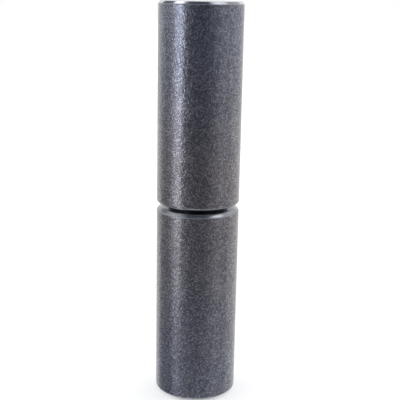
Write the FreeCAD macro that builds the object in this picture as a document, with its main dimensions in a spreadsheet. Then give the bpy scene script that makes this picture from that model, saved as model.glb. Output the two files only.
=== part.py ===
import FreeCAD, Part

import math
import os

import Sketcher

# A weld on barrel hinge of the lift off kind, standing on its lower barrel. Two round steel
# barrels of one length, turned from bar, sit end to end with a thrust washer between them.
# A plain pin is pressed into the lower barrel and stands up into the blind bore of the upper
# one, so the upper barrel turns on the pin and lifts off it.
# Millimetres, +Z up along the hinge axis. The origin is the centre of the lower end face.

DIMENSIONS = [
    ("barrelDiameter", 25.0, "outside of both barrels"),
    ("barrelLength", 59.4, "one barrel, end face to end face"),
    ("edgeChamfer", 0.85, "turned 45 degree chamfer on both ends of each barrel"),
    ("edgeRound", 0.2, "radius that tumbling leaves on the edges of each chamfer"),
    ("pinDiameter", 12.0, "ground pin"),
    ("pinSeat", 28.0, "length of pin pressed into the lower barrel"),
    ("pinReach", 34.0, "length of pin that stands above the lower barrel"),
    ("pinChamfer", 1.0, "45 degree chamfer on the pressed end of the pin"),
    ("pinLead", 2.4, "length of the lead taper on the free end of the pin"),
    ("pinLeadAngle", 20.0, "slope of the lead taper from the pin's axis, degrees"),
    ("pinShoulder", 1.0, "radius where the lead taper meets the ground side"),
    ("pressInterference", 0.02, "how much smaller than the pin its seat is, on diameter"),
    ("seatEndSpace", 1.0, "between the pressed end and the end of the straight bore"),
    ("runningClearance", 0.08, "between the pin and the upper bore, on radius"),
    ("greaseSpace", 3.0, "between the pin's tip and the end of the straight bore"),
    ("boreCountersink", 0.6, "45 degree countersink at the mouth of each bore"),
    ("drillPointAngle", 118.0, "point of the drill that ends both blind bores, degrees"),
    ("washerClearance", 0.09, "between the pin and the thrust washer, on radius"),
    ("washerWidth", 2.91, "thrust washer from its hole to its rim, for 18 mm outside"),
    ("washerThickness", 1.2, "thrust washer, and so the gap between the barrels"),
    ("washerChamfer", 0.15, "45 degree chamfer on the washer's outer edges"),
]


def fill_sheet(doc):
    """The spreadsheet of driving dimensions, one named cell for each."""
    sheet = doc.addObject("Spreadsheet::Sheet", "Dimensions")
    for row, (alias, value, meaning) in enumerate(DIMENSIONS, start=1):
        sheet.set(f"A{row}", meaning)
        sheet.set(f"B{row}", str(value))
        sheet.setAlias(f"B{row}", alias)
    doc.recompute()


def size_of(doc, alias):
    """One driving dimension as the sheet has it."""
    return float(doc.getObject("Dimensions").get(alias))


def circle_sketch(body, name, *diameters):
    """A sketch on the body's own XY plane with a centred circle for each diameter."""
    sketch = body.newObject("Sketcher::SketchObject", f"{body.Label}_{name}")
    plane = next(part for part in body.Origin.OriginFeatures if part.Role == "XY_Plane")
    sketch.AttachmentSupport = [(plane, "")]
    sketch.MapMode = "FlatFace"
    for number, diameter in enumerate(diameters, start=1):
        # Each circle starts at a size of its own, which the sheet's value then replaces.
        circle = Part.Circle(FreeCAD.Vector(), FreeCAD.Vector(0, 0, 1), number)
        drawn = sketch.addGeometry(circle, False)
        # Point 3 of a circle is its centre, and point 1 of element -1 the sketch's origin.
        sketch.addConstraint(Sketcher.Constraint("Coincident", drawn, 3, -1, 1))
        size = sketch.addConstraint(Sketcher.Constraint("Diameter", drawn, 2.0 * number))
        sketch.setExpression(f"Constraints[{size}]", diameter)
    body.Document.recompute()
    return sketch


def add_pad(body, sketch, length):
    """The sketch as a solid that rises from z = 0."""
    bar = body.newObject("PartDesign::Pad", f"{body.Label}_bar")
    bar.Profile = sketch
    bar.setExpression("Length", length)
    body.Document.recompute()
    return bar


def same(one, other):
    """Whether two lengths are equal but for rounding."""
    return math.isclose(one, other, rel_tol=1e-6)


def full_circles(feature, wanted=lambda radius, height: True):
    """Names of the feature's full circles whose radius and height are wanted."""
    names = []
    for number, edge in enumerate(feature.Shape.Edges, start=1):
        if isinstance(edge.Curve, Part.Circle) and edge.isClosed():
            if wanted(edge.Curve.Radius, edge.Curve.Center.z):
                names.append(f"Edge{number}")
    return names


def add_chamfer(body, name, base, edges, size):
    """A 45 degree chamfer on the named edges of the base feature."""
    chamfer = body.newObject("PartDesign::Chamfer", f"{body.Label}_{name}")
    chamfer.Base = (base, edges)
    chamfer.setExpression("Size", size)
    body.Document.recompute()
    return chamfer


def add_fillet(body, name, base, edges, radius):
    """A rounding on the named edges of the base feature."""
    fillet = body.newObject("PartDesign::Fillet", f"{body.Label}_{name}")
    fillet.Base = (base, edges)
    fillet.setExpression("Radius", radius)
    body.Document.recompute()
    return fillet


def drill_bore(body, diameter, depth):
    """A blind bore up from z = 0, countersunk at its mouth and ended by the drill's point."""
    solid = body.Shape.Volume
    sketch = circle_sketch(body, "mouth", diameter)
    bore = body.newObject("PartDesign::Hole", f"{body.Label}_bore")
    bore.Profile = sketch
    body.Document.recompute()
    bore.Reversed = True
    bore.DepthType = "Dimension"
    bore.setExpression("Diameter", diameter)
    bore.setExpression("Depth", depth)
    bore.DrillPoint = "Angled"
    bore.setExpression("DrillPointAngle", "Dimensions.drillPointAngle")
    bore.HoleCutType = "Countersink"
    bore.HoleCutCustomValues = True
    bore.setExpression("HoleCutDiameter", f"{diameter} + 2 * Dimensions.boreCountersink")
    bore.HoleCutCountersinkAngle = 90
    body.Document.recompute()
    straight = math.pi / 4 * bore.Diameter.Value ** 2 * bore.Depth.Value
    if solid - body.Shape.Volume < straight:
        raise RuntimeError(f"{body.Label}: the bore cut less than its own straight length")


def make_barrel(doc, label, bore_diameter, bore_depth):
    """One barrel with its bore opening at z = 0, before it is placed."""
    body = doc.addObject("PartDesign::Body", label)
    body.Label = label
    outline = circle_sketch(body, "outline", "Dimensions.barrelDiameter")
    bar = add_pad(body, outline, "Dimensions.barrelLength")
    turned = add_chamfer(body, "ends", bar, full_circles(bar), "Dimensions.edgeChamfer")
    add_fillet(body, "edges", turned, full_circles(turned), "Dimensions.edgeRound")
    drill_bore(body, bore_diameter, bore_depth)
    return body


def make_lower_barrel(doc):
    """The frame's barrel, turned over so that its tight bore opens upwards."""
    seat = "(Dimensions.pinDiameter - Dimensions.pressInterference)"
    depth = "Dimensions.pinSeat + Dimensions.seatEndSpace"
    body = make_barrel(doc, "lower_barrel", seat, depth)
    turned_over = FreeCAD.Rotation(FreeCAD.Vector(1, 0, 0), 180)
    body.Placement = FreeCAD.Placement(FreeCAD.Vector(), turned_over)
    body.setExpression("Placement.Base.z", "Dimensions.barrelLength")
    return body


def make_upper_barrel(doc):
    """The door's barrel, with a running fit on the pin and a grease space above its tip."""
    running = "(Dimensions.pinDiameter + 2 * Dimensions.runningClearance)"
    depth = "Dimensions.pinReach - Dimensions.washerThickness + Dimensions.greaseSpace"
    body = make_barrel(doc, "upper_barrel", running, depth)
    body.setExpression("Placement.Base.z", "Dimensions.barrelLength + Dimensions.washerThickness")
    return body


def make_pin(doc):
    """The pin: chamfered where it is pressed in, with a long lead taper on its free end."""
    body = doc.addObject("PartDesign::Body", "hinge_pin")
    body.Label = "hinge_pin"
    outline = circle_sketch(body, "outline", "Dimensions.pinDiameter")
    bar = add_pad(body, outline, "Dimensions.pinSeat + Dimensions.pinReach")
    middle = bar.Shape.CenterOfMass.z
    side = size_of(doc, "pinDiameter") / 2
    foot = full_circles(bar, lambda radius, height: height < middle)
    pressed = add_chamfer(body, "pressed_end", bar, foot, "Dimensions.pinChamfer")
    tip = full_circles(pressed, lambda radius, height: height > middle)
    lead = add_chamfer(body, "lead", pressed, tip, "Dimensions.pinLead")
    lead.ChamferType = "Distance and Angle"
    lead.setExpression("Angle", "Dimensions.pinLeadAngle")
    doc.recompute()
    shoulder = full_circles(lead, lambda radius, height: height > middle and same(radius, side))
    add_fillet(body, "shoulder", lead, shoulder, "Dimensions.pinShoulder")
    body.setExpression("Placement.Base.z", "Dimensions.barrelLength - Dimensions.pinSeat")
    return body


def make_washer(doc):
    """The flat ring that the upper barrel turns on, smaller than the barrels all round."""
    body = doc.addObject("PartDesign::Body", "thrust_washer")
    body.Label = "thrust_washer"
    hole = "Dimensions.pinDiameter + 2 * Dimensions.washerClearance"
    outline = circle_sketch(body, "outline", f"{hole} + 2 * Dimensions.washerWidth", hole)
    ring = add_pad(body, outline, "Dimensions.washerThickness")
    inside = size_of(doc, "pinDiameter") / 2 + size_of(doc, "washerClearance")
    rim = full_circles(ring, lambda radius, height: not same(radius, inside))
    add_chamfer(body, "rim", ring, rim, "Dimensions.washerChamfer")
    body.setExpression("Placement.Base.z", "Dimensions.barrelLength")
    return body


def check_document(doc, pieces):
    """Stops if any object failed to build or any piece isn't one sound solid."""
    for item in doc.Objects:
        if "Invalid" in item.State or "Error" in item.State:
            raise RuntimeError(f"{item.Label} did not build: {item.State}")
    for piece in pieces:
        shape = piece.Shape
        if shape.isNull() or not shape.isValid() or len(shape.Solids) != 1:
            raise RuntimeError(f"{piece.Label} is not one valid solid")


def main():
    doc = FreeCAD.newDocument("weld_on_barrel_hinge")
    fill_sheet(doc)
    pieces = [make_lower_barrel(doc), make_pin(doc), make_washer(doc), make_upper_barrel(doc)]
    doc.recompute()
    check_document(doc, pieces)
    os.makedirs("parts", exist_ok=True)
    for piece in pieces:
        piece.Shape.exportStep(f"parts/{piece.Label}.step")
        box = piece.Shape.BoundBox
        print(f"{piece.Label}: z {box.ZMin:.2f} to {box.ZMax:.2f}, volume {piece.Shape.Volume:.1f}")


main()
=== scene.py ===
import math

import bpy
import mathutils
import numpy as np
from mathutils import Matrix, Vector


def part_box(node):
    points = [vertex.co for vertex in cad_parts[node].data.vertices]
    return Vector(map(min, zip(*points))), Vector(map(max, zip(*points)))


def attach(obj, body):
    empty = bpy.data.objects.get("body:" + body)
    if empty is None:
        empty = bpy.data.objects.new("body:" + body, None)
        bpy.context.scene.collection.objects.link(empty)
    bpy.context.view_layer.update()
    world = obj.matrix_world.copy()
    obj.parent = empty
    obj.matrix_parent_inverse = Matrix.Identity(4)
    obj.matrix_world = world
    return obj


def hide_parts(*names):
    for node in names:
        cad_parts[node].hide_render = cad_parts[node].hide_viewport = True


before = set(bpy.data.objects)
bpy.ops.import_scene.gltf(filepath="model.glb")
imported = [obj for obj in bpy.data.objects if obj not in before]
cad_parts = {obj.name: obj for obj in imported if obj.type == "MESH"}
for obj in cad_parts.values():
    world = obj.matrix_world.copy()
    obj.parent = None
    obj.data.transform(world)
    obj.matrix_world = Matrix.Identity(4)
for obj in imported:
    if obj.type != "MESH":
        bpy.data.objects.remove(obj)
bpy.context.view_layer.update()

# A weld on barrel hinge of the lift off kind: two turned, tumbled and oiled steel barrels on one
# ground pin, with a black washer in the gap. All lengths here are millimetres until a mesh is
# made, and the sizes that the frame can give are read from it.
mm = 0.001


# The outside radius of a node and the heights of its ends.
def boxOf(node):
    low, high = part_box(node)
    return {"radius": high.x / mm, "low": low.z / mm, "high": high.z / mm}


lowerBox = boxOf("lower_barrel")
upperBox = boxOf("upper_barrel")
pinBox = boxOf("hinge_pin")
washerBox = boxOf("thrust_washer")
barrelLength = lowerBox["high"] - lowerBox["low"]
print("frame read: barrels", round(barrelLength, 2), "long,", round(2 * lowerBox["radius"], 2), "across")


# A colour written as sRGB hex, as the linear values that the shaders take.
def colour(text):
    values = np.array([int(text[i:i + 2], 16) for i in (1, 3, 5)]) / 255
    linear = np.where(values <= 0.04045, values / 12.92, ((values + 0.055) / 1.055) ** 2.4)
    return (*linear, 1.0)


# Adds a node with its settings. An output among its inputs is linked, a node is linked by the
# first of its outputs that is in use, and any other value is filled in.
def addNode(tree, kind, inputs=None, **settings):
    node = tree.nodes.new(kind)
    for name, value in settings.items():
        setattr(node, name, value)
    for socket, value in (inputs or {}).items():
        if isinstance(value, bpy.types.Node):
            value = next(output for output in value.outputs if output.enabled)
        if isinstance(value, bpy.types.NodeSocket):
            tree.links.new(value, node.inputs[socket])
        else:
            node.inputs[socket].default_value = value
    return node


# A new material, with its nodes and its shader.
def newMaterial(name):
    material = bpy.data.materials.new(name)
    material.use_nodes = True
    tree = material.node_tree
    return material, tree, tree.nodes["Principled BSDF"]


# Turned pieces

arcHalf = 3                     # rows in each half of a rounded corner
sharpAngle = 32.0               # degrees, edges that turn by more than this stay sharp


# The half section of a turned piece is a list of corners (radius, height), with the outside on
# the right of the way along it. A corner rounded by r becomes an arc that is tangent to both of
# its stretches, begins r tan(turn / 2) from the corner and belongs half to each of them. Every
# stretch is cut into rows no longer than its step. Gives radius and height of each row, the
# outward normal there, the length along the section, and the number of the stretch that follows
# each row.
def halfSection(corners, rounds, steps, closed=False):
    corners = np.array(corners, float)
    count = len(corners)
    ways = np.roll(corners, -1, axis=0) - corners
    ways /= np.linalg.norm(ways, axis=1)[:, None]
    outward = np.stack([ways[:, 1], -ways[:, 0]], axis=1)
    starts, ends = corners.copy(), corners.copy()
    points, normals, stretches = [], [], []
    for i in range(count):
        if rounds[i]:
            turn = math.acos(np.clip(np.dot(ways[i - 1], ways[i]), -1, 1))
            reach = rounds[i] * math.tan(turn / 2)
            starts[i] = corners[i] - ways[i - 1] * reach
            ends[i] = corners[i] + ways[i] * reach
    for i in range(count if closed else count - 1):
        before, following = (i - 1) % count, (i + 1) % count
        if rounds[i]:
            share = np.arange(2 * arcHalf)[:, None] / (2 * arcHalf)
            blend = outward[i - 1] * (1 - share) + outward[i] * share
            blend /= np.linalg.norm(blend, axis=1)[:, None]
            points.append(starts[i] + (blend - outward[i - 1]) * rounds[i])
            normals.append(blend)
            stretches += [before] * arcHalf + [i] * arcHalf
        length = np.linalg.norm(starts[following] - ends[i])
        rows = max(1, math.ceil(length / steps[i]))
        share = np.arange(rows)[:, None] / rows
        points.append(ends[i] * (1 - share) + starts[following] * share)
        normals.append(np.repeat(outward[i:i + 1], rows, axis=0))
        stretches += [i] * rows
    if not closed:
        points.append(corners[-1:])
        normals.append(outward[-2:-1])
    points, normals = np.concatenate(points), np.concatenate(normals)
    along = np.concatenate([[0], np.cumsum(np.linalg.norm(np.diff(points, axis=0), axis=1))])
    return points, normals, along, np.array(stretches)


# Turns a half section round the Z axis: point (i, j) is (r_i cos a_j, r_i sin a_j, z_i) with a_j
# evenly spaced, from the back round to the back. depth(i, j) sinks each point along the section's
# normal. A row on the axis becomes one point, so ends are closed with no pole left open. The UV
# map holds millimetres round and along the surface.
def turnedPiece(name, section, segments, finishes, finishOf, depth=None, closed=False):
    points, normals, along, stretches = section
    rows = len(points)
    angles = math.pi / 2 + 2 * math.pi * np.arange(segments) / segments
    sink = np.zeros((rows, segments)) if depth is None else depth
    radius = np.maximum(points[:, :1] - sink * normals[:, :1], 0)
    height = points[:, 1:] - sink * normals[:, 1:]
    grid = np.stack([radius * np.cos(angles), radius * np.sin(angles), height], axis=2)

    number = np.arange(rows * segments).reshape(rows, segments)
    if not closed:
        number[0, :], number[-1, :] = number[0, 0], number[-1, 0]
    kept, packed = np.unique(number, return_inverse=True)
    number = packed.reshape(rows, segments)
    coordinates = grid.reshape(-1, 3)[kept] * mm

    row = np.arange(rows if closed else rows - 1)[:, None]
    column = np.arange(segments)[None, :]
    nextRow, nextColumn = (row + 1) % rows, (column + 1) % segments
    quads = np.stack([number[row, column], number[row, nextColumn],
                      number[nextRow, nextColumn], number[nextRow, column]], axis=2)
    around = 2 * math.pi * points[:, 0].max() / segments
    length = np.append(along, along[-1] + np.linalg.norm(points[0] - points[-1]))
    u = np.stack([column, column + 1, column + 1, column], axis=2) * around
    v = length[np.stack([row, row, row + 1, row + 1], axis=2)]
    uv = np.stack([np.broadcast_to(u, quads.shape), np.broadcast_to(v, quads.shape)], axis=3)
    slot = np.repeat(np.array(finishOf)[stretches], segments)

    # A quad that touches the axis has two equal corners and becomes a triangle.
    quads = quads.reshape(-1, 4)
    twin = quads == np.roll(quads, -1, axis=1)
    sizes = 4 - twin.sum(axis=1)
    loopStart = np.concatenate([[0], np.cumsum(sizes)[:-1]])
    loops = quads[~twin]
    loopUv = uv.reshape(-1, 4, 2)[~twin]

    mesh = bpy.data.meshes.new(name)
    mesh.vertices.add(len(coordinates))
    mesh.vertices.foreach_set("co", coordinates.ravel())
    mesh.loops.add(len(loops))
    mesh.loops.foreach_set("vertex_index", loops.astype(np.int32))
    mesh.polygons.add(len(sizes))
    mesh.polygons.foreach_set("loop_start", loopStart.astype(np.int32))
    mesh.polygons.foreach_set("material_index", slot.astype(np.int32))
    layer = mesh.uv_layers.new(name="surface")
    layer.data.foreach_set("uv", loopUv.astype(np.float32).ravel())
    mesh.update(calc_edges=True)
    mesh.validate()
    mesh.shade_smooth()
    mesh.set_sharp_from_angle(angle=math.radians(sharpAngle))
    for finish in finishes:
        mesh.materials.append(finish)
    piece = bpy.data.objects.new(name, mesh)
    bpy.context.collection.objects.link(piece)
    return piece


# Tumbled surface

tumbling = {
    "seed": 7,
    "directions": 12,           # stroke directions, evenly spread over half a turn
    "nicksPerMm2": 1.6,         # strokes in each square millimetre, all directions together
    "nickLength": 0.4,          # how far a stroke fades out along its direction, sigma
    "nickWidth": 0.15,          # and across it
    "nickDepth": 0.011,
    "dentsPerMm2": 0.25,
    "dentWidth": 0.5,           # round dents where parts knocked together in the tumbler
    "dentDepth": 0.012,
    "faintest": 0.35,           # the weakest mark, as a share of the strongest
    "waveLength": 6.0,          # slow unevenness left by turning, three sigmas long
    "waveDepth": 0.006,         # two standard deviations of it
}


# Depth of the tumbled surface over a grid of rows by columns, never under zero. Marks fall at
# random as impulses, and every mark has the form exp(-(a / sa)^2 / 2 - (b / sb)^2 / 2) in its own
# turned axes a and b. The impulses and the mark are multiplied as Fourier transforms, which
# wraps the pattern round the barrel with no seam. The waves are noise smoothed the same way.
def tumbledDepth(shape, pitch, spec, seed):
    random = np.random.default_rng(seed)
    fv = np.fft.fftfreq(shape[0], pitch[0])[:, None]
    fu = np.fft.rfftfreq(shape[1], pitch[1])[None, :]
    area = pitch[0] * pitch[1]

    def marks(density, length, width, depth, angle):
        chance = density * area
        impulses = (random.random(shape) < chance) * random.uniform(spec["faintest"], 1.0, shape)
        a = fu * math.cos(angle) + fv * math.sin(angle)
        b = fv * math.cos(angle) - fu * math.sin(angle)
        form = np.exp(-2 * math.pi ** 2 * ((a * length) ** 2 + (b * width) ** 2))
        form *= depth * 2 * math.pi * length * width / area
        return np.fft.irfft2(np.fft.rfft2(impulses) * form, s=shape)

    total = np.zeros(shape)
    turns = spec["directions"]
    for turn in range(turns):
        density = spec["nicksPerMm2"] / turns
        angle = math.pi * (turn + 0.5) / turns
        total += marks(density, spec["nickLength"], spec["nickWidth"], spec["nickDepth"], angle)
    total += marks(spec["dentsPerMm2"], spec["dentWidth"], spec["dentWidth"], spec["dentDepth"], 0)
    slow = random.standard_normal(shape)
    form = np.exp(-2 * math.pi ** 2 * (fu ** 2 + fv ** 2) * (spec["waveLength"] / 3) ** 2)
    slow = np.fft.irfft2(np.fft.rfft2(slow) * form, s=shape)
    total += slow * spec["waveDepth"] / slow.std() / 2
    return total - total.min()


# Materials

# Low carbon steel bar, turned, tumbled with stones and oiled: dark bluish grey with a soft sheen
# that breaks up into fine bright flecks, because the tumbling leaves short curved scratches in
# every direction and the oil darkens what lies between them.
tumbledSteel = {
    "name": "tumbledOiledSteel",
    "deep": "#5c5e65",          # where oil is left in the grain
    "rubbed": "#79787b",        # and where it is rubbed off
    "fresh": "#afb1b8",         # bare metal in a scratch
    "roughness": (0.08, 0.22),  # in the deep grain and on its tops
    "roughGrain": (0.3, 0.7),   # the values of the grain's noise between which it rises
    "thinFilm": "#f3f6ff",      # the oil film is bluish where thin and brownish where thick
    "thickFilm": "#fff8f3",
    "filmLength": 120.0,        # one wave of it along the hinge
    "filmPhase": 3.25,          # radians, for a film that is thick at the middle
    "filmWander": 1.0,
    "stainSize": 4.5,
    "stainSeed": 33.0,
    "stainShare": 0.35,         # the rest of the tint follows the grain
    "grainSize": 0.5,           # stone grain, drawn coarser than real so that it shows
    "grainSeed": 21.0,
    "grainHeight": 0.029,
    "wearEdges": (0.35, 0.65),  # the values of both noises between which deep turns to rubbed
    "scratchSpacing": (0.6, 0.78, 1.05),   # three layers, coarser than real so that they show
    "scratchLength": 0.75,      # half length and half width, as shares of the spacing
    "scratchWidth": 0.18,
    "scratchBend": 0.5,
    "scratchDepth": 0.012,      # a share of the spacing too
    "scratchShine": 0.85,
    "unseen": 0.3,              # share of the scratches that don't shine at all
    "tiltAxis": (0.8, 0.5, 0.33),
    "tiltAngle": 0.7,           # radians
}


def tumbledMaterial(spec):
    material, tree, shader = newMaterial(spec["name"])
    place = addNode(tree, "ShaderNodeTexCoord").outputs["Object"]

    # The scratches are placed in a tilted space, so that no layer of cells lies along the barrel.
    # There spot is the place, axis the barrel's axis and around the way round it.
    tilt = {"Axis": spec["tiltAxis"], "Angle": spec["tiltAngle"]}
    axis = addNode(tree, "ShaderNodeVectorRotate", {"Vector": (0.0, 0.0, 1.0), **tilt})
    spot = addNode(tree, "ShaderNodeVectorRotate", {"Vector": place, **tilt})
    crossed = addNode(tree, "ShaderNodeVectorMath", {0: axis, 1: spot}, operation="CROSS_PRODUCT")
    around = addNode(tree, "ShaderNodeVectorMath", {0: crossed}, operation="NORMALIZE")

    # Each cell of a Voronoi pattern holds one scratch through its middle, turned and bent at
    # random. With a along the scratch and b across it, the scratch is
    # (1 - (a / halfLength)^2) (1 - ((b + bend a^2) / halfWidth)^2), and nothing where a factor
    # is negative.
    scratches = grooves = None
    for spacing in spec["scratchSpacing"]:
        # Each layer is moved, so that no two of them share their cells.
        scale = 1 / (spacing * mm)
        shifted = addNode(tree, "ShaderNodeVectorMath", {
            0: spot, 1: (spacing, spacing / 3, spacing / 7)}, operation="ADD")
        cells = addNode(tree, "ShaderNodeTexVoronoi", {"Vector": shifted, "Scale": scale})
        luck = addNode(tree, "ShaderNodeSeparateColor", {"Color": cells.outputs["Color"]})
        offset = addNode(tree, "ShaderNodeVectorMath", {
            0: shifted, 1: cells.outputs["Position"]}, operation="SUBTRACT")
        offset = addNode(tree, "ShaderNodeVectorMath", {0: offset, "Scale": scale}, operation="SCALE")
        sideways = addNode(tree, "ShaderNodeVectorMath", {
            0: offset, 1: around}, operation="DOT_PRODUCT")
        upward = addNode(tree, "ShaderNodeVectorMath", {
            0: offset, 1: axis}, operation="DOT_PRODUCT")
        flat = addNode(tree, "ShaderNodeCombineXYZ", {"X": sideways, "Y": upward})
        angle = addNode(tree, "ShaderNodeMath", {
            0: luck.outputs["Red"], 1: math.pi}, operation="MULTIPLY")
        turned = addNode(tree, "ShaderNodeVectorRotate", {
            "Vector": flat, "Angle": angle}, rotation_type="Z_AXIS")
        parts = addNode(tree, "ShaderNodeSeparateXYZ", {"Vector": turned})
        alongSquare = addNode(tree, "ShaderNodeMath", {
            0: parts.outputs["X"], 1: 2.0}, operation="POWER")
        bendWay = addNode(tree, "ShaderNodeMapRange", {
            "Value": luck.outputs["Green"], "To Min": -1.0}, interpolation_type="SMOOTHSTEP")
        bend = addNode(tree, "ShaderNodeMath", {
            0: bendWay, 1: spec["scratchBend"]}, operation="MULTIPLY")
        across = addNode(tree, "ShaderNodeMath", {
            0: bend, 1: alongSquare, 2: parts.outputs["Y"]}, operation="MULTIPLY_ADD")
        acrossSquare = addNode(tree, "ShaderNodeMath", {0: across, 1: 2.0}, operation="POWER")
        ends = addNode(tree, "ShaderNodeMath", {
            0: alongSquare, 1: -1 / spec["scratchLength"] ** 2, 2: 1.0}, operation="MULTIPLY_ADD")
        sides = addNode(tree, "ShaderNodeMath", {
            0: acrossSquare, 1: -1 / spec["scratchWidth"] ** 2, 2: 1.0}, operation="MULTIPLY_ADD")
        ends = addNode(tree, "ShaderNodeMath", {0: ends, 1: 0.0}, operation="MAXIMUM")
        sides = addNode(tree, "ShaderNodeMath", {0: sides, 1: 0.0}, operation="MAXIMUM")
        stroke = addNode(tree, "ShaderNodeMath", {0: ends, 1: sides}, operation="MULTIPLY")
        shown = addNode(tree, "ShaderNodeMapRange", {
            "Value": luck.outputs["Blue"], "From Min": spec["unseen"]}, interpolation_type="SMOOTHSTEP")
        shine = addNode(tree, "ShaderNodeMath", {0: stroke, 1: shown}, operation="MULTIPLY")
        groove = addNode(tree, "ShaderNodeMath", {
            0: stroke, 1: -spec["scratchDepth"] * spacing}, operation="MULTIPLY")
        if scratches is not None:
            shine = addNode(tree, "ShaderNodeMath", {0: scratches, 1: shine}, operation="MAXIMUM")
            groove = addNode(tree, "ShaderNodeMath", {0: grooves, 1: groove}, operation="ADD")
        scratches, grooves = shine, groove

    # The tint goes from deep to rubbed with the grain and the stains, and to fresh in a scratch.
    grain = addNode(tree, "ShaderNodeTexNoise", {
        "Vector": place, "W": spec["grainSeed"], "Scale": 1 / (spec["grainSize"] * mm),
        "Detail": 1.0, "Roughness": 0.55}, noise_dimensions="4D")
    stain = addNode(tree, "ShaderNodeTexNoise", {
        "Vector": place, "W": spec["stainSeed"], "Scale": 1 / (spec["stainSize"] * mm),
        "Detail": 2.0, "Roughness": 0.55}, noise_dimensions="4D")
    edges = {"From Min": spec["wearEdges"][0], "From Max": spec["wearEdges"][1]}
    grainWear = addNode(tree, "ShaderNodeMapRange", {
        "Value": grain, **edges}, interpolation_type="SMOOTHSTEP")
    stainWear = addNode(tree, "ShaderNodeMapRange", {
        "Value": stain, **edges}, interpolation_type="SMOOTHSTEP")
    stainPart = addNode(tree, "ShaderNodeMath", {
        0: stainWear, 1: spec["stainShare"]}, operation="MULTIPLY")
    wear = addNode(tree, "ShaderNodeMath", {
        0: grainWear, 1: 1 - spec["stainShare"], 2: stainPart}, operation="MULTIPLY_ADD")
    tint = addNode(tree, "ShaderNodeMix", {
        "Factor": wear, "A": colour(spec["deep"]), "B": colour(spec["rubbed"])}, data_type="RGBA")
    bare = addNode(tree, "ShaderNodeMath", {
        0: scratches, 1: spec["scratchShine"]}, operation="MULTIPLY")
    paint = addNode(tree, "ShaderNodeMix", {
        "Factor": bare, "A": tint, "B": colour(spec["fresh"])}, data_type="RGBA")

    # The oil film over it all is a wave up the hinge, sin(2 pi z / filmLength), a little warped.
    # At scale 1 the node draws 10 / pi waves in each unit.
    film = addNode(tree, "ShaderNodeTexWave", {
        "Vector": place, "Scale": math.pi / 10 / (spec["filmLength"] * mm),
        "Distortion": spec["filmWander"], "Detail": 1.0, "Detail Scale": 8.0,
        "Phase Offset": spec["filmPhase"]}, bands_direction="Z")
    filmTint = addNode(tree, "ShaderNodeMix", {
        "Factor": film.outputs["Fac"], "A": colour(spec["thickFilm"]), "B": colour(spec["thinFilm"])},
        data_type="RGBA")
    oiled = addNode(tree, "ShaderNodeMix", {
        "Factor": 1.0, "A": paint, "B": filmTint}, data_type="RGBA", blend_type="MULTIPLY")
    height = addNode(tree, "ShaderNodeMath", {
        0: grain, 1: spec["grainHeight"], 2: grooves}, operation="MULTIPLY_ADD")
    bump = addNode(tree, "ShaderNodeBump", {"Height": height, "Strength": 1.0, "Distance": mm})
    roughness = addNode(tree, "ShaderNodeMapRange", {
        "Value": grain, "From Min": spec["roughGrain"][0], "From Max": spec["roughGrain"][1],
        "To Min": spec["roughness"][0], "To Max": spec["roughness"][1]},
        interpolation_type="SMOOTHSTEP")
    tree.links.new(oiled.outputs["Result"], shader.inputs["Base Color"])
    tree.links.new(roughness.outputs["Result"], shader.inputs["Roughness"])
    tree.links.new(bump.outputs["Normal"], shader.inputs["Normal"])
    shader.inputs["Metallic"].default_value = 1.0
    return material


# Steel faced on the lathe: brighter and smoother than the tumbled side, with the
# tool's fine rings about the axis.
facedSteel = {
    "name": "latheFacedSteel",
    "dark": "#b4b5b9",
    "light": "#c4c5c8",
    "roughness": 0.16,
    "ringSpacing": 0.2,
    "stainSize": 3.0,
    "bump": 0.014,
}

# The lathe's chamfers, dulled by the tumbling.
chamferSteel = {
    "name": "turnedChamferSteel",
    "dark": "#84878e",
    "light": "#92959b",
    "roughness": 0.17,
    "ringSpacing": 0.3,
    "stainSize": 3.0,
    "bump": 0.01,
}

# Steel as the drill leaves it, with rings down the bore and old grease in them.
drilledSteel = {
    "name": "drilledGreasySteel",
    "dark": "#3d3c3c",
    "light": "#5a5857",
    "roughness": 0.38,
    "ringSpacing": 0.55,
    "stainSize": 4.0,
    "bump": 0.02,
}

# A pin ground between centres: bright, with rings so fine that only a sheen is left of them,
# under a thin film of grease.
groundSteel = {
    "name": "groundPinSteel",
    "dark": "#9a9996",
    "light": "#b4b3b0",
    "roughness": 0.2,
    "ringSpacing": 0.3,
    "stainSize": 7.0,
    "bump": 0.002,
}

# A stamped spring steel shim, coloured near black all over, rubbed a little grey by the barrels.
nearBlackSteel = {
    "name": "nearBlackWasherSteel",
    "dark": "#1d1e24",
    "light": "#34353b",
    "roughness": 0.34,
    "ringSpacing": 0.35,
    "stainSize": 2.5,
    "bump": 0.004,
}

toneEdges = (0.35, 0.65)        # the values of the stain's noise that are dark and light


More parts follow.
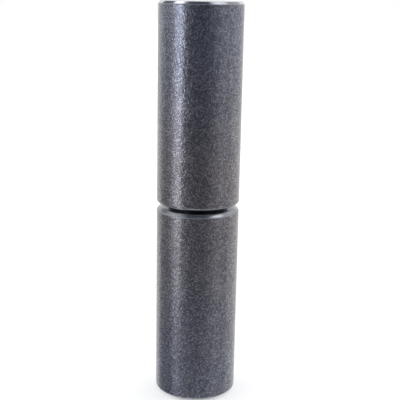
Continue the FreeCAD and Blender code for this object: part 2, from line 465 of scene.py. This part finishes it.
# Turned steel: rings about the axis, as a noise in the length along the piece's section, and a
# cloudy stain between two tones.
def ringedMaterial(spec):
    material, tree, shader = newMaterial(spec["name"])
    place = addNode(tree, "ShaderNodeTexCoord")
    surface = addNode(tree, "ShaderNodeUVMap", uv_map="surface")
    parts = addNode(tree, "ShaderNodeSeparateXYZ", {"Vector": surface})
    rings = addNode(tree, "ShaderNodeTexNoise", {
        "W": parts.outputs["Y"], "Scale": 1 / spec["ringSpacing"],
        "Detail": 1.0, "Roughness": 0.6}, noise_dimensions="1D")
    stain = addNode(tree, "ShaderNodeTexNoise", {
        "Vector": place.outputs["Object"], "Scale": 1 / (spec["stainSize"] * mm), "Detail": 4.0})
    tone = addNode(tree, "ShaderNodeValToRGB", {"Fac": stain})
    for stop, position, shade in zip(tone.color_ramp.elements, toneEdges, ("dark", "light")):
        stop.position = position
        stop.color = colour(spec[shade])
    bump = addNode(tree, "ShaderNodeBump", {
        "Height": rings, "Strength": 1.0, "Distance": spec["bump"] * mm})
    tree.links.new(tone.outputs["Color"], shader.inputs["Base Color"])
    tree.links.new(bump.outputs["Normal"], shader.inputs["Normal"])
    shader.inputs["Metallic"].default_value = 1.0
    shader.inputs["Roughness"].default_value = spec["roughness"]
    return material


barrelFinishes = [tumbledMaterial(tumbledSteel), ringedMaterial(chamferSteel),
                  ringedMaterial(facedSteel), ringedMaterial(drilledSteel)]
side, chamfered, faced, drilled = range(4)     # their places in that list
pinFinish = ringedMaterial(groundSteel)
washerFinish = ringedMaterial(nearBlackSteel)
print("materials made")


# Barrels

barrel = {
    "lower": {"endChamfer": 1.15, "gapChamfer": 1.1},    # at the plain end and at the washer
    "upper": {"endChamfer": 0.85, "gapChamfer": 0.55},
    "sideRound": 0.7,           # the tumbling rounds the edges
    "faceRound": 0.3,
    "countersink": 0.6,
    "drillPoint": 118.0,        # degrees
    "segments": 320,
    "sideStep": 0.27,
    "endStep": 0.5,
    "boreStep": 3.0,
    "pointStep": 1.5,
    "reliefReach": 1.4,         # how far in from the side the tumbled relief goes
}

# How the pin fits the bores, in radius, and the room at its ends.
fit = {
    "press": 0.01,              # the lower bore is tighter than the pin by this
    "running": 0.08,            # the upper one is wider by this
    "seatEndSpace": 1.0,
    "greaseSpace": 3.0,
}


# One barrel with its bore opening at height 0 and its plain end at height barrelLength. The
# section runs from the drill point down the bore, out over the face at the washer, up the side
# and in over the plain end. The drill point is boreRadius / tan(half its angle) deep.
def barrelSection(which, boreRadius, boreDepth):
    outside, length = lowerBox["radius"], barrelLength
    gap, end = barrel[which]["gapChamfer"], barrel[which]["endChamfer"]
    mouth = barrel["countersink"]
    point = boreRadius / math.tan(math.radians(barrel["drillPoint"] / 2))
    corners = [(0, boreDepth + point), (boreRadius, boreDepth), (boreRadius, mouth),
               (boreRadius + mouth, 0), (outside - gap, 0), (outside, gap),
               (outside, length - end), (outside - end, length), (0, length)]
    rounds = [0, 0, 0, 0, barrel["faceRound"], barrel["sideRound"], barrel["sideRound"],
              barrel["faceRound"], 0]
    fine, coarse = barrel["sideStep"], barrel["endStep"]
    steps = [barrel["pointStep"], barrel["boreStep"], fine, coarse, fine, fine, fine, coarse]
    finishOf = [drilled, drilled, faced, faced, chamfered, side, chamfered, faced]
    return halfSection(corners, rounds, steps), finishOf


# The tumbled relief for a section's rows: full on the side, less on the chamfers by the square
# of the normal's radial part, none on the faces and in the bore, so that what seats stays flat.
# It is read between the two nearest rows of a table whose cells are nearly square.
def barrelDepth(section, seed):
    points, normals, along = section[:3]
    segments = barrel["segments"]
    pitchRound = 2 * math.pi * lowerBox["radius"] / segments
    tableRows = 2 * math.ceil(along[-1] / barrel["sideStep"] / 2)
    pitchAlong = along[-1] / tableRows
    table = tumbledDepth((tableRows, segments), (pitchAlong, pitchRound), tumbling, seed)
    place = along / pitchAlong
    first = np.floor(place).astype(int) % tableRows
    share = (place - np.floor(place))[:, None]
    relief = table[first] * (1 - share) + table[(first + 1) % tableRows] * share
    outwards = np.clip(normals[:, 0], 0, 1)
    outer = points[:, 0] > lowerBox["radius"] - barrel["reliefReach"]
    return relief * (outwards ** 2 * outer)[:, None]


# Makes a barrel with its own marks, turns it half round about X when its bore opens upwards, and
# lifts it to its place.
def makeBarrel(name, which, boreRadius, boreDepth, upsideDown, lift):
    section, finishOf = barrelSection(which, boreRadius, boreDepth)
    depth = barrelDepth(section, tumbling["seed"] + upsideDown)
    piece = turnedPiece(name, section, barrel["segments"], barrelFinishes, finishOf, depth)
    flip = -1 if upsideDown else 1
    count = len(piece.data.vertices)
    place = np.empty(count * 3, np.float32)
    piece.data.vertices.foreach_get("co", place)
    place = place.reshape(-1, 3) * (1, flip, flip) + (0, 0, lift * mm)
    piece.data.vertices.foreach_set("co", place.ravel().astype(np.float32))
    piece.data.update()
    return piece


pinRadius = pinBox["radius"]
pinSeat = lowerBox["high"] - pinBox["low"]
lowerBarrel = makeBarrel("lowerBarrelSteel", "lower", pinRadius - fit["press"],
                         pinSeat + fit["seatEndSpace"], True, lowerBox["high"])
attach(lowerBarrel, "lower")
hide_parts("lower_barrel")

upperReach = pinBox["high"] - upperBox["low"]
upperBarrel = makeBarrel("upperBarrelSteel", "upper", pinRadius + fit["running"],
                         upperReach + fit["greaseSpace"], False, upperBox["low"])
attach(upperBarrel, "upper")
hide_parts("upper_barrel")
print("barrels turned:", len(upperBarrel.data.polygons), "faces each")


# Pin

pin = {
    "pressedChamfer": 1.0,
    "lead": 2.4,                # length of the taper at the tip
    "leadAngle": 20.0,          # degrees from the pin's axis
    "shoulder": 1.0,            # rounding where the taper begins
    "nose": 0.15,
    "segments": 192,
    "step": 2.0,
}


# The section runs up the outside, from the middle of the pressed end to the middle of the tip,
# whose radius is the pin's less lead tan(leadAngle).
def pinSection():
    low, high, radius = pinBox["low"], pinBox["high"], pinBox["radius"]
    foot, shoulder = pin["pressedChamfer"], high - pin["lead"]
    tip = radius - pin["lead"] * math.tan(math.radians(pin["leadAngle"]))
    corners = [(0, low), (radius - foot, low), (radius, low + foot), (radius, shoulder),
               (tip, high), (0, high)]
    rounds = [0, 0, 0, pin["shoulder"], pin["nose"], 0]
    return halfSection(corners, rounds, [pin["step"]] * 5)


hingePin = turnedPiece("groundPin", pinSection(), pin["segments"], [pinFinish], [0] * 5)
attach(hingePin, "lower")
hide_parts("hinge_pin")


# Washer

washer = {
    "clearance": 0.09,          # between the pin and its hole, in radius
    "chamfer": 0.15,
    "segments": 256,
    "step": 0.5,
}


# The section is a closed ring: a rectangle with its two outer corners cut at 45 degrees.
def washerSection():
    low, high, outside = washerBox["low"], washerBox["high"], washerBox["radius"]
    inside, edge = pinRadius + washer["clearance"], washer["chamfer"]
    corners = [(inside, low), (outside - edge, low), (outside, low + edge),
               (outside, high - edge), (outside - edge, high), (inside, high)]
    return halfSection(corners, [0] * 6, [washer["step"]] * 6, closed=True)


thrustWasher = turnedPiece("blackWasher", washerSection(), washer["segments"], [washerFinish],
                           [0] * 6, closed=True)
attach(thrustWasher, "washer")
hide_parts("thrust_washer")
print("pin and washer made")


# Studio

studio = {
    "floorSize": 6.0,           # metres
    "floor": "#e8e8e8",
    "floorRoughness": 0.9,
    "floorGlow": 0.45,          # what the camera sees on top of the floor's own light
}


# A flat square sheet. The steel doesn't mirror it, because it would show plain white all round;
# what the steel sees from below is in the world.
def makeFloor():
    half = studio["floorSize"] / 2
    mesh = bpy.data.meshes.new("paleFloor")
    mesh.from_pydata([(-half, -half, 0), (half, -half, 0), (half, half, 0), (-half, half, 0)], [],
                     [(0, 1, 2, 3)])
    floor = bpy.data.objects.new("paleFloor", mesh)
    bpy.context.collection.objects.link(floor)
    material, tree, shader = newMaterial("palePaper")
    shader.inputs["Base Color"].default_value = colour(studio["floor"])
    shader.inputs["Roughness"].default_value = studio["floorRoughness"]
    light = addNode(tree, "ShaderNodeLightPath")
    through = addNode(tree, "ShaderNodeMath", {
        0: light.outputs["Is Glossy Ray"], 1: light.outputs["Is Transmission Ray"]})
    seen = addNode(tree, "ShaderNodeMath", {0: light.outputs["Is Camera Ray"], 1: through})
    glow = addNode(tree, "ShaderNodeMath", {0: seen, 1: studio["floorGlow"]}, operation="MULTIPLY")
    tree.links.new(glow.outputs["Value"], shader.inputs["Emission Strength"])
    shader.inputs["Emission Color"].default_value = (1, 1, 1, 1)
    mesh.materials.append(material)
    floor.visible_glossy = False


makeFloor()

# What lights the hinge and shows in it, by direction: the camera stands at -Y. A patch lies round
# a direction, full up to its inner angle and gone at its outer one, in degrees. Later ones lie on
# top of those before them.
surroundings = {
    "cool": "#dfe3f9",          # tint where it is dark; where it is bright it is white
    # (y of the direction, brightness): dim in front of the hinge, bright behind it
    "stops": [(-1.0, 0.27), (-0.9, 0.33), (-0.58, 0.68), (-0.38, 0.81), (0.2, 1.03), (1.0, 1.08)],
    # (towards, inner, outer, brightness)
    "patches": [
        ((0.0, -0.2, -0.98), 15, 62, 1.0),         # the floor
        ((-0.92, 0.2, -0.46), 8, 33, 0.5),         # shaded corners to the left
        ((0.93, -0.15, -0.34), 6, 24, 0.74),       # and to the right
        ((-0.49, 0.6, 0.63), 10, 22, 0.45),        # shade up to the left, behind
        ((0.0, -0.1, 1.0), 18, 30, 0.25),          # dark ceiling
        ((-0.45, 0.25, 0.86), 5, 11, 5.0),         # two lamps overhead, for the chamfers
        ((0.43, 0.12, 0.89), 8, 17, 2.5),
        ((-0.36, 0.86, 0.36), 3.5, 8, 2.0),        # two small gleams behind, for the ends
        ((0.34, 0.87, 0.35), 3.5, 8, 1.9),         # of the top chamfer
    ],
    # (towards, inner, outer) of the white backdrop that the steel sees behind the hinge
    "backdrop": ((0.0, 0.94, -0.34), 36, 44),
}


# The camera sees plain white all round, the steel sees it in the backdrop only, and elsewhere
# the strength is that of the stops with the patches laid over them.
def makeWorld():
    world = bpy.data.worlds.new("whiteSweep")
    bpy.context.scene.world = world
    world.use_nodes = True
    tree = world.node_tree
    back = tree.nodes["Background"]
    place = addNode(tree, "ShaderNodeTexCoord").outputs["Generated"]
    parts = addNode(tree, "ShaderNodeSeparateXYZ", {"Vector": place})
    share = addNode(tree, "ShaderNodeMapRange", {
        "Value": parts.outputs["Y"], "From Min": -1.0, "From Max": 1.0})
    level = addNode(tree, "ShaderNodeValToRGB", {"Fac": share})
    elements = level.color_ramp.elements
    for number, (y, brightness) in enumerate(surroundings["stops"]):
        stop = elements[number] if number < 2 else elements.new(1.0)     # a ramp starts with two
        stop.position = (y + 1) / 2
        stop.color = (brightness, brightness, brightness, 1)

    # Smooth from 0 to 1 in the cosine of the angle to the patch's middle.
    def coverOf(towards, inner, outer):
        middle = np.array(towards) / np.linalg.norm(towards)
        near = addNode(tree, "ShaderNodeVectorMath", {0: place, 1: middle}, operation="DOT_PRODUCT")
        return addNode(tree, "ShaderNodeMapRange", {
            "Value": near, "From Min": math.cos(math.radians(outer)),
            "From Max": math.cos(math.radians(inner))}, interpolation_type="SMOOTHSTEP")

    for towards, inner, outer, brightness in surroundings["patches"]:
        level = addNode(tree, "ShaderNodeMix", {
            "Factor": coverOf(towards, inner, outer), "A": level, "B": brightness}, data_type="FLOAT")
    light = addNode(tree, "ShaderNodeLightPath")
    through = addNode(tree, "ShaderNodeMath", {
        0: light.outputs["Is Glossy Ray"], 1: light.outputs["Is Transmission Ray"]})
    white = addNode(tree, "ShaderNodeMath", {
        0: through, 1: coverOf(*surroundings["backdrop"]), 2: light.outputs["Is Camera Ray"]},
        operation="MULTIPLY_ADD")
    strength = addNode(tree, "ShaderNodeMix", {
        "Factor": white, "A": level, "B": 1.0}, data_type="FLOAT")
    tint = addNode(tree, "ShaderNodeMix", {
        "Factor": strength, "A": colour(surroundings["cool"]), "B": (1, 1, 1, 1)}, data_type="RGBA")
    tree.links.new(strength.outputs["Result"], back.inputs["Strength"])
    tree.links.new(tint.outputs["Result"], back.inputs["Color"])


makeWorld()

# A tall soft box to the left of the camera: bright at its right edge, fading to the left and
# towards its foot. Azimuths are degrees from the camera's direction, negative to the left.
softBox = {
    "distance": 0.6,            # from the hinge's axis, in metres, as the heights are
    "near": -47.4,
    "far": -82.0,
    "low": -0.45,
    "high": 0.3,
    "strength": 3.05,
    "tint": "#f4f6ff",
    # shares of the sheet between which the light rises, and the share of the light before that
    "across": (0.0, 0.75, 0.33),
    "upward": (0.16, 0.8, 0.25),
}


# A flat sheet between two azimuths: a corner is (d sin(azimuth), -d cos(azimuth), height).
def makeSoftBox():
    def corner(azimuth, height):
        angle = math.radians(azimuth)
        reach = softBox["distance"]
        return (reach * math.sin(angle), -reach * math.cos(angle), height)

    near, far, low, high = (softBox[key] for key in ("near", "far", "low", "high"))
    mesh = bpy.data.meshes.new("softBox")
    mesh.from_pydata([corner(far, low), corner(near, low), corner(near, high), corner(far, high)],
                     [], [(0, 1, 2, 3)])
    layer = mesh.uv_layers.new(name="sheet")
    layer.data.foreach_set("uv", [0, 0, 1, 0, 1, 1, 0, 1])
    box = bpy.data.objects.new("softBox", mesh)
    bpy.context.collection.objects.link(box)
    material = bpy.data.materials.new("softBoxSheet")
    material.use_nodes = True
    tree = material.node_tree
    tree.nodes.clear()
    sheet = addNode(tree, "ShaderNodeUVMap", uv_map="sheet")
    parts = addNode(tree, "ShaderNodeSeparateXYZ", {"Vector": sheet})
    fades = []
    for part, way in (("X", "across"), ("Y", "upward")):
        begin, end, least = softBox[way]
        fades.append(addNode(tree, "ShaderNodeMapRange", {
            "Value": parts.outputs[part], "From Min": begin, "From Max": end, "To Min": least},
            interpolation_type="SMOOTHSTEP"))
    level = addNode(tree, "ShaderNodeMath", {0: fades[0], 1: fades[1]}, operation="MULTIPLY")
    strength = addNode(tree, "ShaderNodeMath", {
        0: level, 1: softBox["strength"]}, operation="MULTIPLY")
    emission = addNode(tree, "ShaderNodeEmission", {
        "Color": colour(softBox["tint"]), "Strength": strength})
    addNode(tree, "ShaderNodeOutputMaterial", {"Surface": emission})
    mesh.materials.append(material)
    material.cycles.emission_sampling = "NONE"
    box.visible_camera = False


makeSoftBox()
print("studio lit")


# Camera

# Place and lens found by fitting the outline of the photograph, in barrel radii from the foot.
camera = {
    "side": 0.050,
    "distance": 20.06,
    "height": 9.92,
    "pitch": 14.11,             # degrees down
    "roll": 1.05,
    "focal": 850.0,             # in pixels of the frame
    "frameWidth": 400,
    "sensor": 36.0,
    "clip": (0.01, 20),         # metres
}


# Looks along +Y from in front of the hinge, pitched down and rolled about its own axis.
def makeCamera():
    radius = lowerBox["radius"] * mm
    data = bpy.data.cameras.new("camera")
    data.sensor_width = camera["sensor"]
    data.lens = camera["focal"] * data.sensor_width / camera["frameWidth"]
    data.clip_start, data.clip_end = camera["clip"]
    view = bpy.data.objects.new("camera", data)
    bpy.context.collection.objects.link(view)
    view.location = (camera["side"] * radius, -camera["distance"] * radius, camera["height"] * radius)
    view.rotation_mode = "QUATERNION"
    tilt = mathutils.Quaternion((1, 0, 0), math.radians(90 - camera["pitch"]))
    spin = mathutils.Quaternion((0, 0, 1), math.radians(camera["roll"]))
    view.rotation_quaternion = tilt @ spin
    bpy.context.scene.camera = view


makeCamera()
bpy.context.scene.view_settings.view_transform = "Standard"
